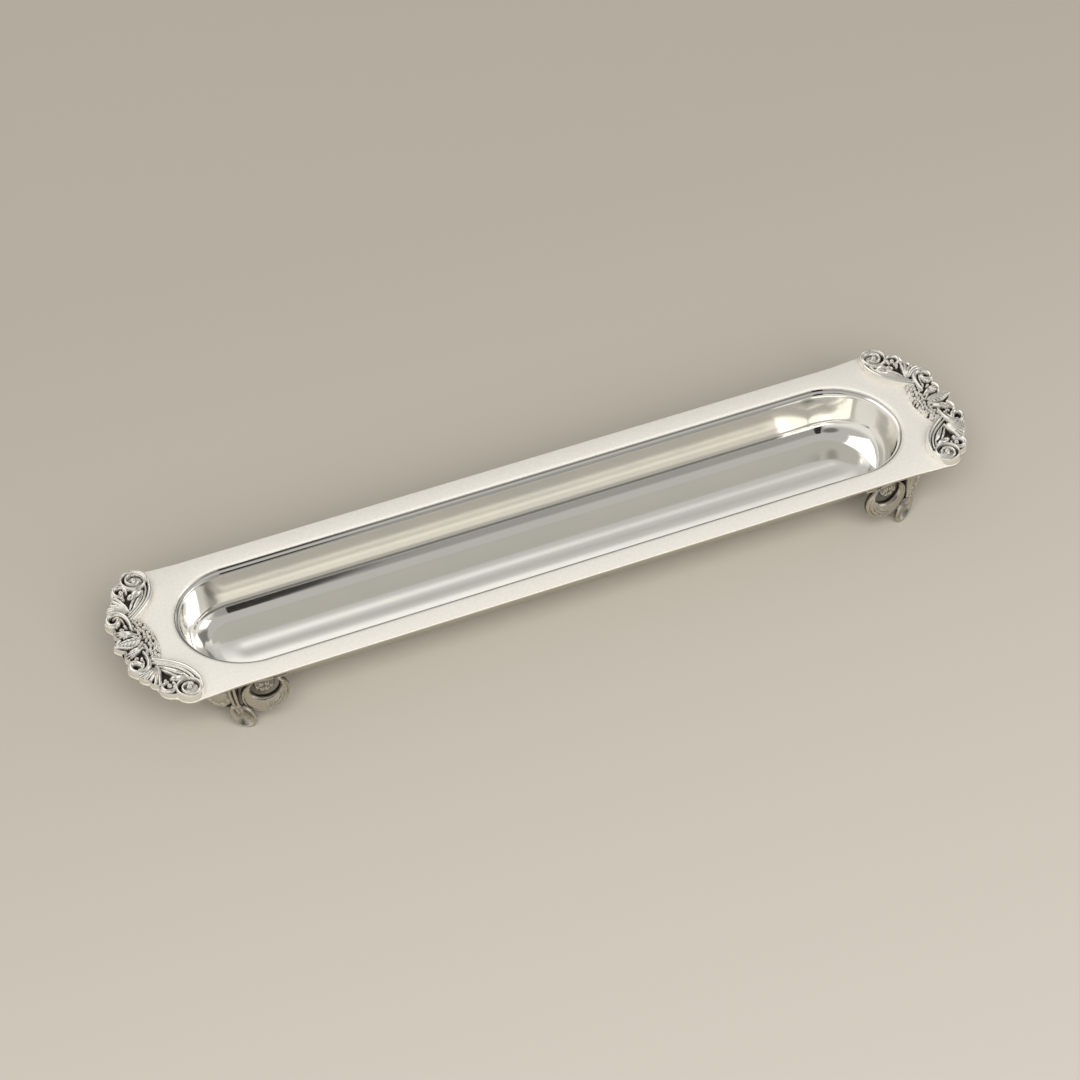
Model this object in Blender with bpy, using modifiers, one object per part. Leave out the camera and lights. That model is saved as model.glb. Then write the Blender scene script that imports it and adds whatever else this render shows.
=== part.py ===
"""A footed silver tray for long matches, modelled at its real size in metres, +Z up.

One sheet has a long round-ended well pressed into it. A cast border of scrolls, leaves and a garland
of beads is soldered on each end, and four cast scroll feet carry the tray beside the ends of the well.
The origin is on the table, under the middle of the tray. X runs along the tray and -Y is its front.
"""

import math

import bmesh
import bpy
from mathutils import Matrix, Vector

# Sheet and well
SHEET = 0.0010
WELL_STRAIGHT = 0.1770
WELL_RADIUS = 0.0198
WELL_DEPTH = 0.0136
WELL_CLEARANCE = 0.0025
SIDE_FLANGE = 0.0052
SHOULDER_RADIUS = 0.0013
SHOULDER_TURN = math.radians(70)
BEAD_RADIUS = 0.0013
BEAD_START = math.radians(28)
WALL_TOP_SLOPE = math.radians(81)
WALL_FOOT_SLOPE = math.radians(75)
FLOOR_FILLET = 0.0035
LEAST_WALL = 0.0005
CORNER_FLARE = 0.0006
FLARE_LENGTH = 0.0120

# Cast end mounts
SOLDER_GAP = 0.0003
GROUND = 0.0012
GARLAND_MARGIN = 0.0067
MOUNT_REACH = 0.0102
SHEET_INSET = 0.0002
VOLUTE_RADIUS = 0.0039
VOLUTE_INSET = 0.0030
VOLUTE_SETBACK = 0.0031
VOLUTE_EYE = 0.0024
STEM_ROOT_OUT = 0.0020
CURL_RADIUS = 0.0022
SCROLL_GAP = 0.0009
RIM_WIRE = 0.0009
THIN_WIRE = 0.0006
GARLAND_BEAD = 0.0020
BEAD_PITCH = 0.0019
LEAF_LENGTH = 0.0070
LEAF_WIDTH = 0.0030
SIDE_LEAF_LENGTH = 0.0052
SIDE_LEAF_WIDTH = 0.0023
SIDE_LEAF_TURN = 25
LEAF_RISE = 0.0022

# Cast feet
TOE_ANGLE = math.radians(21)
FOOT_STANDOFF = 0.0034
FOOT_STRAP = 0.0016
RAIL_STRAP = 0.0012
RAIL_HEIGHT = 0.0010
WING_RADIUS = 0.0061
WING_BAND = 0.0056
WING_MOUTH = 0.0004
WING_CUT = 0.0006
WING_GAP = 0.0002
LEG_RADIUS = 0.0015
TOE_LENGTH = 0.0105
TOE_WIDTH = 0.0052
TOE_THICKNESS = 0.0036
TOE_TILT = math.radians(25)
TOE_LEAN = 0.0018
TOE_OUT = 0.0014
TOE_FLAT = 0.0007
BEND_STEP = 0.0040

# Sizes that follow from those above
HALF_WIDTH = WELL_RADIUS + SIDE_FLANGE
END_CENTRE = WELL_STRAIGHT / 2
PLATE_TOP = WELL_CLEARANCE + SHEET + WELL_DEPTH
GARLAND_X = END_CENTRE + WELL_RADIUS + GARLAND_MARGIN
VOLUTE = Vector((GARLAND_X - VOLUTE_SETBACK, HALF_WIDTH - VOLUTE_INSET))
STEM_ROOT = Vector((GARLAND_X + STEM_ROOT_OUT, VOLUTE.y * 0.41))
GROUND_BOTTOM = PLATE_TOP + SOLDER_GAP
GROUND_TOP = GROUND_BOTTOM + GROUND
FOOT_RADIUS = WELL_RADIUS + SHEET + FOOT_STANDOFF
FOOT_TOP = PLATE_TOP - SHEET - SOLDER_GAP

ARC_STEPS = 9
WELD = 1e-6
FRONT = -1
BACK = 1


def clear_scene():
    for old in list(bpy.data.objects):
        bpy.data.objects.remove(old, do_unlink=True)


def new_collection(name):
    collection = bpy.data.collections.new(name)
    bpy.context.scene.collection.children.link(collection)
    return collection


def silver(name, colour, roughness):
    material = bpy.data.materials.new(name)
    material.use_nodes = True
    shader = material.node_tree.nodes["Principled BSDF"]
    shader.inputs["Base Color"].default_value = (*colour, 1)
    shader.inputs["Roughness"].default_value = roughness
    shader.inputs["Metallic"].default_value = 1
    return material


def add_object(name, data, collection):
    made = bpy.data.objects.new(name, data)
    collection.objects.link(made)
    return made


def bmesh_object(name, shape, collection):
    mesh = bpy.data.meshes.new(name)
    shape.to_mesh(mesh)
    shape.free()
    return add_object(name, mesh, collection)


def face_outwards(shape):
    bmesh.ops.recalc_face_normals(shape, faces=shape.faces)
    if shape.calc_volume(signed=True) < 0:
        bmesh.ops.reverse_faces(shape, faces=shape.faces)


def made_mesh(source, collection):
    """Replaces a curve, or an object with modifiers, by a plain mesh object of the same name and place."""
    bpy.context.view_layer.update()
    graph = bpy.context.evaluated_depsgraph_get()
    mesh = bpy.data.meshes.new_from_object(source.evaluated_get(graph), depsgraph=graph)
    shape = bmesh.new()
    shape.from_mesh(mesh)
    bmesh.ops.remove_doubles(shape, verts=shape.verts, dist=WELD)
    face_outwards(shape)
    shape.to_mesh(mesh)
    shape.free()
    name, place = source.name, source.matrix_world.copy()
    bpy.data.objects.remove(source, do_unlink=True)
    made = add_object(name, mesh, collection)
    made.matrix_world = place
    return made


def wire(name, points, radii, collection):
    """A round wire through 3-D points, with its own radius at each point."""
    curve = bpy.data.curves.new(name, "CURVE")
    curve.dimensions = "3D"
    curve.bevel_depth = 1
    curve.bevel_resolution = 1
    curve.use_fill_caps = True
    spline = curve.splines.new("POLY")
    spline.points.add(len(points) - 1)
    for place, point, radius in zip(spline.points, points, radii):
        place.co = (*point, 1)
        place.radius = radius
    return made_mesh(add_object(name, curve, collection), collection)


def flat_outline(name, loops, thickness, collection):
    """A flat plate of one outline, or of an outline with holes, in X and Y and centred on Z = 0."""
    curve = bpy.data.curves.new(name, "CURVE")
    curve.dimensions = "2D"
    curve.fill_mode = "BOTH"
    curve.extrude = thickness / 2
    for points in loops:
        spline = curve.splines.new("POLY")
        spline.points.add(len(points) - 1)
        for place, point in zip(spline.points, points):
            place.co = (point[0], point[1], 0, 1)
        spline.use_cyclic_u = True
    return made_mesh(add_object(name, curve, collection), collection)


def pebble(name, centre, sizes, turn, collection, segments=8, rings=6):
    """An egg-shaped solid of the given full sizes, turned about Z."""
    shape = bmesh.new()
    bmesh.ops.create_uvsphere(shape, u_segments=segments, v_segments=rings, radius=0.5)
    turned = Matrix.Rotation(turn, 4, "Z") @ Matrix.Diagonal((*sizes, 1))
    shape.transform(Matrix.Translation(centre) @ turned)
    return bmesh_object(name, shape, collection)


def fuse(base, shapes, collection):
    """Joins every shape of a collection to the base, as one solid."""
    union = base.modifiers.new("union", "BOOLEAN")
    union.operation = "UNION"
    union.solver = "EXACT"
    union.operand_type = "COLLECTION"
    union.collection = shapes
    whole = made_mesh(base, collection)
    for old in list(shapes.objects):
        bpy.data.objects.remove(old, do_unlink=True)
    return whole


def smooth(mesh, sharp_degrees):
    mesh.shade_smooth()
    mesh.set_sharp_from_angle(angle=math.radians(sharp_degrees))


def blend(start, end, share):
    return start + (end - start) * share


def polar(centre, radius, degrees):
    angle = math.radians(degrees)
    return Vector((centre[0] + radius * math.cos(angle), centre[1] + radius * math.sin(angle)))


def spiral(centre, radii, degrees, count):
    """Plan points round a centre, with radius and angle both running evenly from start to end."""
    shares = [step / (count - 1) for step in range(count)]
    return [polar(centre, blend(*radii, share), blend(*degrees, share)) for share in shares]


def bowed(start, end, bow, count):
    """Points from start towards end, bowed to the right of the way by a share of the chord; end left out."""
    chord = end - start
    side = Vector((chord.y, -chord.x))
    shares = [step / count for step in range(count)]
    return [start + chord * share + side * (bow * 4 * share * (1 - share)) for share in shares]


def sweep(start, start_pull, end, end_pull, count):
    """Plan points of a stem that leaves and arrives along the two pulls; end left out."""
    near, far = start + start_pull, end - end_pull
    points = []
    for step in range(count):
        share = step / count
        first = blend(blend(start, near, share), blend(near, far, share), share)
        last = blend(blend(near, far, share), blend(far, end, share), share)
        points.append(blend(first, last, share))
    return points


def beside(points, distance):
    """The points moved to the left of their own way."""
    moved = []
    for index, point in enumerate(points):
        way = points[min(index + 1, len(points) - 1)] - points[max(index - 1, 0)]
        moved.append(point + Vector((-way.y, way.x)).normalized() * distance)
    return moved


def well_section():
    """Half-section of the well: insets from the opening's edge and depths below the flange."""
    section = [(0.0, 0.0)]

    def turn_down(radius, start, end, steps):
        inset, depth = section[-1]
        for step in range(1, steps + 1):
            slope = blend(start, end, step / steps)
            run = abs(math.sin(slope) - math.sin(start)) * radius
            drop = abs(math.cos(slope) - math.cos(start)) * radius
            section.append((inset + run, depth + drop))

    turn_down(SHOULDER_RADIUS, 0, SHOULDER_TURN, 4)
    turn_down(BEAD_RADIUS, BEAD_START, WALL_TOP_SLOPE, 3)
    left = WELL_DEPTH - section[-1][1]
    fillet_drop = 1 - math.cos(WALL_FOOT_SLOPE)
    fillet = min(FLOOR_FILLET, (left - LEAST_WALL) / fillet_drop)
    wall_drop = math.cos(WALL_FOOT_SLOPE) - math.cos(WALL_TOP_SLOPE)
    turn_down((left - fillet * fillet_drop) / wall_drop, WALL_TOP_SLOPE, WALL_FOOT_SLOPE, 3)
    turn_down(fillet, WALL_FOOT_SLOPE, 0, 6)
    return section


def scallop_cusps():
    """Points where the lobes of a mount's outer edge meet, from the middle leaf to the corner volute."""
    places = ((0.78, 0.114), (0.79, 0.286), (0.75, 0.545), (0.57, 0.690), (0.42, 0.810))
    cusps = [Vector((GARLAND_X + MOUNT_REACH * out, VOLUTE.y * across)) for out, across in places]
    return cusps + [polar(VOLUTE, VOLUTE_RADIUS, 13)]


def lobes():
    """The lobes of a mount's outer edge: where each starts and ends, and its bow as a share of that chord."""
    cusps = [Vector((GARLAND_X + MOUNT_REACH, 0))] + scallop_cusps()
    return list(zip(cusps, cusps[1:], (0.08, 0.18, 0.28, 0.20, 0.17, 0.24)))


def lobe_middle(lobe):
    return bowed(*lobe, 2)[1]


def mount_edge():
    """Quarter of a mount's scalloped outer edge, from the tip of its middle leaf to the volute's far side."""
    points = []
    for lobe in lobes():
        points += bowed(*lobe, 5)
    return points + spiral(VOLUTE, (VOLUTE_RADIUS, VOLUTE_RADIUS), (13, 95), 6)


def sheet_end():
    """Quarter outline of the sheet: trimmed to the mount, then flaring out a little on its long edge."""
    points = beside(mount_edge(), SHEET_INSET)
    points[0].y = 0
    flare_end = VOLUTE.x - VOLUTE_RADIUS / 2
    for step in range(6):
        share = step / 5
        flare = CORNER_FLARE * (1 + math.cos(math.pi * share)) / 2
        points.append(Vector((flare_end - FLARE_LENGTH * share, HALF_WIDTH + flare)))
    return points


def make_tray_plate(collection, material):
    """A quarter of the pressing as an open surface, mirrored both ways and given the sheet's thickness."""
    shape = bmesh.new()
    end = END_CENTRE + WELL_RADIUS
    chain = [shape.verts.new((end - inset, 0, PLATE_TOP - depth)) for inset, depth in well_section()]
    edges = [shape.edges.new(pair) for pair in zip(chain, chain[1:])]
    middle = Vector((END_CENTRE, 0, 0))
    spun = bmesh.ops.spin(
        shape, geom=chain + edges, cent=middle, axis=(0, 0, 1), angle=math.pi / 2, steps=ARC_STEPS
    )
    side = [item for item in spun["geom_last"] if isinstance(item, bmesh.types.BMEdge)]
    drawn = bmesh.ops.extrude_edge_only(shape, edges=side)["geom"]
    ends = [item for item in drawn if isinstance(item, bmesh.types.BMVert)]
    bmesh.ops.translate(shape, verts=ends, vec=-middle)

    def ring(height):
        level = [vert for vert in shape.verts if abs(vert.co.z - height) < WELD]
        return sorted(level, key=lambda vert: math.atan2(vert.co.y, vert.co.x - END_CENTRE))

    rim, floor = ring(PLATE_TOP), ring(PLATE_TOP - WELL_DEPTH)
    shape.faces.new(floor + [shape.verts.new((0, 0, PLATE_TOP - WELL_DEPTH))])
    outline = [Vector((0, HALF_WIDTH))] + sheet_end()[::-1]
    shape.faces.new(rim + [shape.verts.new((*point, PLATE_TOP)) for point in outline])
    bmesh.ops.recalc_face_normals(shape, faces=shape.faces)
    if shape.faces[-1].normal.z < 0:
        bmesh.ops.reverse_faces(shape, faces=shape.faces)
    plate = bmesh_object("tray_plate", shape, collection)
    mirror = plate.modifiers.new("quarters", "MIRROR")
    mirror.use_axis = (True, True, False)
    mirror.merge_threshold = WELD
    sheet = plate.modifiers.new("sheet", "SOLIDIFY")
    sheet.thickness = SHEET
    sheet.offset = -1
    sheet.use_even_offset = True
    plate.data.materials.append(material)
    smooth(plate.data, 40)


def stem_points():
    """The main stem of a mount, from the garland out to the volute's rim."""
    start = polar(VOLUTE, VOLUTE_RADIUS - 0.8 * RIM_WIRE, 200)
    pull = (start - STEM_ROOT).length / 3
    return sweep(STEM_ROOT, Vector((-0.87, 0.50)) * pull, start, Vector((-0.34, 0.94)) * pull, 8)


def garland_x(y):
    """The garland bows outwards from its middle to the roots of the stems."""
    return GARLAND_X + STEM_ROOT_OUT * (y / STEM_ROOT.y) ** 2


def mount_outline():
    """Outline of a mount's ground: scalloped outside, following the stems and the garland inside."""
    half = mount_edge()
    half += spiral(VOLUTE, (VOLUTE_RADIUS, VOLUTE_RADIUS), (110, 200), 7)
    half += beside(stem_points(), 1.5 * RIM_WIRE)[:0:-1]
    for step in range(4, -1, -1):
        y = STEM_ROOT.y * 0.9 * step / 4
        half.append(Vector((garland_x(y) - 0.8 * GARLAND_BEAD, y)))
    return half + [Vector((point.x, -point.y)) for point in half[-2:0:-1]]


def raised(points, height, side):
    return [(point.x, side * point.y, height) for point in points]


def tapered(count, start, end):
    return [blend(start, end, step / (count - 1)) for step in range(count)]


def half_mount_shapes(side, shapes):
    """The scrolls, ridges, side leaf and beads on one side of a mount's middle leaf."""
    height = GROUND_TOP + 0.3 * RIM_WIRE
    low = GROUND_TOP + 0.2 * THIN_WIRE
    stem = stem_points()
    rim_radii = (VOLUTE_RADIUS - 0.8 * RIM_WIRE, VOLUTE_EYE / 2 + THIN_WIRE)
    volute = stem + spiral(VOLUTE, rim_radii, (200, -110), 15)
    wire("volute", raised(volute, height, side), tapered(len(volute), RIM_WIRE, THIN_WIRE), shapes)
    ridge = beside(stem, -1.7 * RIM_WIRE)[2:]
    wire("stem_ridge", raised(ridge, low, side), [THIN_WIRE] * len(ridge), shapes)
    eye = (VOLUTE.x, side * VOLUTE.y, GROUND_TOP)
    pebble("volute_eye", eye, [VOLUTE_EYE] * 3, 0, shapes)

    _, leaf_lobe, scroll_lobe, *flute_lobes, curl_lobe = lobes()
    curl_centre = (curl_lobe[0] + curl_lobe[1]) / 2 - Vector((0.7, 0.7)) * THIN_WIRE
    curl = spiral(curl_centre, (CURL_RADIUS, 0.8 * CURL_RADIUS), (-160, 140), 12)
    wire("outer_curl", raised(curl, low, side), [THIN_WIRE] * len(curl), shapes)

    scroll_centre = (scroll_lobe[0] + scroll_lobe[1]) / 2 - Vector((1.6 * RIM_WIRE, 0))
    scroll_radius = scroll_centre.x - STEM_ROOT.x - RIM_WIRE - SCROLL_GAP
    scroll = spiral(scroll_centre, (scroll_radius, 0.45 * scroll_radius), (235, -60), 15)
    wire("end_scroll", raised(scroll, height, side), tapered(len(scroll), RIM_WIRE, THIN_WIRE), shapes)
    fan = polar(scroll_centre, scroll_radius + THIN_WIRE, 150)
    for lobe in flute_lobes:
        tip = lobe_middle(lobe) - Vector((THIN_WIRE, 0))
        pull = (tip - fan).length / 3
        flute = sweep(fan, Vector((0, pull)), tip, Vector((pull, 0)), 6) + [tip]
        wire("shell_flute", raised(flute, low, side), tapered(len(flute), THIN_WIRE, RIM_WIRE), shapes)

    leaf_tip = lobe_middle(leaf_lobe)
    leaf_centre = polar(leaf_tip, SIDE_LEAF_LENGTH / 2, 180 + SIDE_LEAF_TURN)
    leaf_size = (SIDE_LEAF_LENGTH, SIDE_LEAF_WIDTH, LEAF_RISE)
    turn = side * math.radians(SIDE_LEAF_TURN)
    pebble("side_leaf", (leaf_centre.x, side * leaf_centre.y, GROUND_TOP), leaf_size, turn, shapes)
    for step in range(int((STEM_ROOT.y - 0.5 * BEAD_PITCH) / BEAD_PITCH)):
        y = BEAD_PITCH * (step + 1.3)
        bead = (garland_x(y), side * y, GROUND_TOP)
        pebble("garland_bead", bead, [GARLAND_BEAD] * 3, 0, shapes, 7, 5)


def make_end_mounts(collection, shapes, material):
    ground = flat_outline("mount_ground", [mount_outline()], GROUND, collection)
    ground.location.z = (GROUND_BOTTOM + GROUND_TOP) / 2
    for side in (FRONT, BACK):
        half_mount_shapes(side, shapes)
    leaf_x = GARLAND_X + MOUNT_REACH - LEAF_LENGTH / 2
    pebble("middle_leaf", (leaf_x, 0, GROUND_TOP), (LEAF_LENGTH, LEAF_WIDTH, LEAF_RISE), 0, shapes)
    for petal in range(6):
        place = polar((GARLAND_X, 0), 0.6 * GARLAND_BEAD, 60 * petal)
        pebble("petal", (*place, GROUND_TOP), [0.7 * GARLAND_BEAD] * 3, 0, shapes, 6, 4)
    right = fuse(ground, shapes, collection)
    right.name = "right_end_mount"
    right.data.materials.append(material)
    smooth(right.data, 50)
    left = add_object("left_end_mount", right.data, collection)
    left.matrix_world = Matrix.Rotation(math.pi, 4, "Z") @ right.matrix_world


def bent_round_well(point):
    """Takes a place on a flat foot (along it, up, and out from it) to the path round the end of the well."""
    along = FOOT_RADIUS * TOE_ANGLE + point.x
    radius = FOOT_RADIUS + point.z
    if along < 0:
        return Vector((END_CENTRE + along, -radius, point.y))
    angle = along / FOOT_RADIUS
    return Vector((END_CENTRE + radius * math.sin(angle), -radius * math.cos(angle), point.y))


def crescent(centre, radius, hole, raised_by):
    """A round wing with a round hole that breaks out through its top, between two horns."""
    across = (radius**2 + raised_by**2 - hole**2) / (2 * radius * raised_by)
    horn = math.degrees(math.acos(across))
    tip = polar((0, 0), radius, 90 - horn)
    hole_horn = math.degrees(math.atan2(tip.y - raised_by, tip.x))
    outside = spiral(centre, (radius, radius), (90 - horn, -270 + horn), 22)
    inside = spiral(centre + Vector((0, raised_by)), (hole, hole), (180 - hole_horn, 360 + hole_horn), 14)
    return outside + inside[1:-1]


def make_foot_mesh(collection, shapes):
    """A foot made flat, with X along it, Y up and Z out, then cut level and bent round the well."""
    reach = WING_GAP + WING_RADIUS + math.sqrt(WING_RADIUS**2 - (WING_RADIUS - WING_CUT) ** 2)
    over = FOOT_TOP + RAIL_HEIGHT / 2
    steps = [blend(-reach, reach, step / 10) for step in range(11)]
    loop = [(along, over) for along in steps] + [(along, FOOT_TOP - RAIL_HEIGHT) for along in steps[::-1]]
    rail = flat_outline("foot_rail", [loop], RAIL_STRAP, collection)
    hole = (2 * WING_RADIUS + WING_MOUTH - WING_BAND) / 2
    for side in (-1, 1):
        centre = Vector((side * (WING_RADIUS + WING_GAP), FOOT_TOP + WING_CUT - WING_RADIUS))
        wing = crescent(centre, WING_RADIUS, hole, WING_RADIUS + WING_MOUTH - hole)
        flat_outline("wing", [wing], FOOT_STRAP, shapes)
    drop = math.hypot(TOE_LENGTH * math.cos(TOE_TILT), TOE_WIDTH * math.sin(TOE_TILT)) / 2
    toe_centre = (TOE_LEAN, drop - TOE_FLAT, TOE_OUT)
    leg = [(2 * TOE_LEAN, over, 0), (2 * TOE_LEAN, 0.7 * FOOT_TOP, 0), toe_centre]
    wire("leg", leg, [LEG_RADIUS, LEG_RADIUS, 0.8 * LEG_RADIUS], shapes)
    pebble("toe", toe_centre, (TOE_WIDTH, TOE_LENGTH, TOE_THICKNESS), -TOE_TILT, shapes, 12, 10)
    foot = fuse(rail, shapes, collection)
    shape = bmesh.new()
    shape.from_mesh(foot.data)
    for level, up in ((0, -1), (FOOT_TOP, 1)):
        geometry = shape.verts[:] + shape.edges[:] + shape.faces[:]
        cut = bmesh.ops.bisect_plane(
            shape, geom=geometry, dist=WELD, plane_co=(0, level, 0), plane_no=(0, up, 0), clear_outer=True
        )
        rim = [item for item in cut["geom_cut"] if isinstance(item, bmesh.types.BMEdge)]
        bmesh.ops.contextual_create(shape, geom=rim)
    along = -reach + BEND_STEP
    while along < reach:
        geometry = shape.verts[:] + shape.edges[:] + shape.faces[:]
        bmesh.ops.bisect_plane(shape, geom=geometry, dist=WELD, plane_co=(along, 0, 0), plane_no=(1, 0, 0))
        along += BEND_STEP
    bmesh.ops.triangulate(shape, faces=shape.faces)
    for vert in shape.verts:
        vert.co = bent_round_well(vert.co)
    face_outwards(shape)
    mesh = bpy.data.meshes.new("foot")
    shape.to_mesh(mesh)
    shape.free()
    bpy.data.objects.remove(foot, do_unlink=True)
    smooth(mesh, 50)
    return mesh


def make_feet(collection, shapes, material):
    front_right = make_foot_mesh(collection, shapes)
    front_right.materials.append(material)
    front_left = front_right.copy()
    front_left.transform(Matrix.Scale(-1, 4, (1, 0, 0)))
    front_left.flip_normals()
    half_turn = Matrix.Rotation(math.pi, 4, "Z")
    add_object("front_right_foot", front_right, collection)
    add_object("front_left_foot", front_left, collection)
    add_object("back_left_foot", front_right, collection).matrix_world = half_turn
    add_object("back_right_foot", front_left, collection).matrix_world = half_turn


clear_scene()
parts = new_collection("match_tray")
shapes_to_fuse = new_collection("shapes_to_fuse")
make_tray_plate(parts, silver("pressed_silver", (0.90, 0.88, 0.84), 0.18))
make_end_mounts(parts, shapes_to_fuse, silver("cast_silver_mounts", (0.84, 0.82, 0.77), 0.28))
make_feet(parts, shapes_to_fuse, silver("cast_silver_feet", (0.80, 0.78, 0.73), 0.30))
bpy.data.collections.remove(shapes_to_fuse)
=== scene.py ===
import math

import bpy
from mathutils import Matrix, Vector


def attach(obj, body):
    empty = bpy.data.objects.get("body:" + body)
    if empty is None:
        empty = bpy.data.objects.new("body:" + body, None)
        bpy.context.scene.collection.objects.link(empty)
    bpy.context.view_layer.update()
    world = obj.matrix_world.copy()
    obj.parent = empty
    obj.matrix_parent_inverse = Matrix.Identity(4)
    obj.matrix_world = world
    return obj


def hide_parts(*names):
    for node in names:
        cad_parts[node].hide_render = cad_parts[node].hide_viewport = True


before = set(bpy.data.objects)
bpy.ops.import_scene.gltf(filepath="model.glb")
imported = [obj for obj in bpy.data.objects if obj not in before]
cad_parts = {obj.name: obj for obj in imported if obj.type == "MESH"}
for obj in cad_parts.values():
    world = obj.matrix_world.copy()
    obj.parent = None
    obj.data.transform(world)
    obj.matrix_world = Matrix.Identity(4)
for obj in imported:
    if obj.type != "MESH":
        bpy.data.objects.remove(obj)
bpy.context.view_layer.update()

PLATE_TOP = 0.0171
VIEW_TURN = math.radians(-24.3)
VIEW_RISE = math.radians(42.6)
VIEW_DISTANCE = 1.0
LENS = 122.0
FRAMING = (-0.0074, -0.0192)

towards_viewer = Vector((
    math.sin(VIEW_TURN) * math.cos(VIEW_RISE),
    -math.cos(VIEW_TURN) * math.cos(VIEW_RISE),
    math.sin(VIEW_RISE),
))
bpy.ops.object.select_all(action="DESELECT")
bpy.ops.object.camera_add(
    location=Vector((0, 0, PLATE_TOP)) + towards_viewer * VIEW_DISTANCE,
    rotation=(-towards_viewer).to_track_quat("-Z", "Y").to_euler(),
)
camera = bpy.context.object
camera.data.lens = LENS
camera.data.sensor_width = 36
camera.data.shift_x, camera.data.shift_y = FRAMING
camera.data.clip_start = 0.01
bpy.context.scene.camera = camera

# The table: a wide flat sheet of warm grey paper, painted paler towards the viewer: painted light,
# brighter near the front. It is only the ground that the tray stands on in the picture.
PAPER_SIZE = 6.0
PAPER_NEAR = (0.750, 0.705, 0.637)
PAPER_FAR = (0.560, 0.522, 0.448)
NEAR_FROM, FAR_FROM = -0.30, 0.19

bpy.ops.mesh.primitive_plane_add(size=PAPER_SIZE)
paper = bpy.context.object
paper.name = "table_paper"
paper_finish = bpy.data.materials.new("warm_grey_paper")
paper_finish.use_nodes = True
nodes, links = paper_finish.node_tree.nodes, paper_finish.node_tree.links
place = nodes.new("ShaderNodeTexCoord")
apart = nodes.new("ShaderNodeSeparateXYZ")
links.new(place.outputs["Object"], apart.inputs[0])
across = nodes.new("ShaderNodeMapRange")
across.interpolation_type = "SMOOTHSTEP"
across.inputs["From Min"].default_value = NEAR_FROM
across.inputs["From Max"].default_value = FAR_FROM
links.new(apart.outputs["Y"], across.inputs["Value"])
# painted light: the paper's colour runs from paler near the viewer to greyer far off
tone = nodes.new("ShaderNodeMix")
tone.data_type = "RGBA"
tone.inputs["A"].default_value = (*PAPER_NEAR, 1)
tone.inputs["B"].default_value = (*PAPER_FAR, 1)
links.new(across.outputs[0], tone.inputs["Factor"])
shader = nodes["Principled BSDF"]
shader.inputs["Roughness"].default_value = 0.9
shader.inputs["Specular IOR Level"].default_value = 0.1
links.new(tone.outputs["Result"], shader.inputs["Base Color"])
paper.data.materials.append(paper_finish)

# The light: a grey room with a wide soft box high at the far left, a strip light with a fainter
# glow under it beyond the tray, a low soft box at the right and a dark card behind the viewer, all
# of which the silver mirrors. A wide lamp high behind the viewer lights the paper.
ROOM_TONE = (1.0, 0.985, 0.95)
ROOM_GREY = 0.48
ROOM_SIDES = 0.80
BEHIND_VIEWER = 0.33
DARK_CORNER = 0.20
DIM_CEILING = 0.17
ON_PAPER = 0.28
BACKDROP = 0.42
BOX_DISTANCE = 4.0
STRIP_LENGTH = 4.2
STRIP_DISTANCE = 3.8
STRIP_OFFSET = 0.9
CARD_PLACE = (0.36, -2.0, 1.93)
CARD_TILT = math.radians(7.5)
CARD_SIZE = (0.62, 3.0)
CARD_BLACK = (0.03, 0.03, 0.03)


def direction(turn, rise):
    """A way to look, by degrees round to the right from the far side and degrees up."""
    turn, rise = math.radians(turn), math.radians(rise)
    level = math.cos(rise)
    return Vector((math.sin(turn) * level, math.cos(turn) * level, math.sin(rise)))


def soft_box(name, turn, rise, distance, size, radiance):
    """A rectangular lamp that faces the tray, as bright as a pale surface of that radiance."""
    way = direction(turn, rise)
    facing = way.to_track_quat("Z", "Y").to_euler()
    bpy.ops.object.light_add(type="AREA", location=way * distance, rotation=facing)
    lamp = bpy.context.object
    lamp.name = name
    lamp.data.shape = "RECTANGLE"
    lamp.data.size, lamp.data.size_y = size
    lamp.data.energy = radiance * math.pi * size[0] * size[1]
    lamp.data.color = ROOM_TONE
    return lamp


far_left = soft_box("far_left_soft_box", -36, 52, BOX_DISTANCE, (4.0, 2.7), radiance=0.9)
right = soft_box("right_soft_box", 101, 27, BOX_DISTANCE, (1.6, 1.8), radiance=0.9)
strip = soft_box("far_strip_light", 0, 48.3, STRIP_DISTANCE, (STRIP_LENGTH, 0.28), radiance=0.52)
glow = soft_box("far_strip_glow", 0, 44.2, STRIP_DISTANCE, (STRIP_LENGTH, 0.27), radiance=0.33)
strip.location.x = glow.location.x = STRIP_OFFSET
for mirrored in (far_left, right, strip, glow):
    mirrored.visible_diffuse = False
fill = soft_box("overhead_fill", 195, 42, BOX_DISTANCE, (5.0, 4.0), radiance=3.05)
fill.visible_glossy = False

bpy.ops.mesh.primitive_plane_add(size=1, location=CARD_PLACE, rotation=(math.pi / 2, CARD_TILT, 0))
card = bpy.context.object
card.name = "dark_card"
card.scale = (*CARD_SIZE, 1)
card_finish = bpy.data.materials.new("black_card")
card_finish.use_nodes = True
shader = card_finish.node_tree.nodes["Principled BSDF"]
shader.inputs["Base Color"].default_value = (*CARD_BLACK, 1)
shader.inputs["Roughness"].default_value = 0.9
card.data.materials.append(card_finish)
card.visible_camera = card.visible_diffuse = card.visible_shadow = False

room = bpy.data.worlds.new("studio_room")
bpy.context.scene.world = room
room.use_nodes = True
nodes, links = room.node_tree.nodes, room.node_tree.links
look = nodes.new("ShaderNodeTexCoord")


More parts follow.
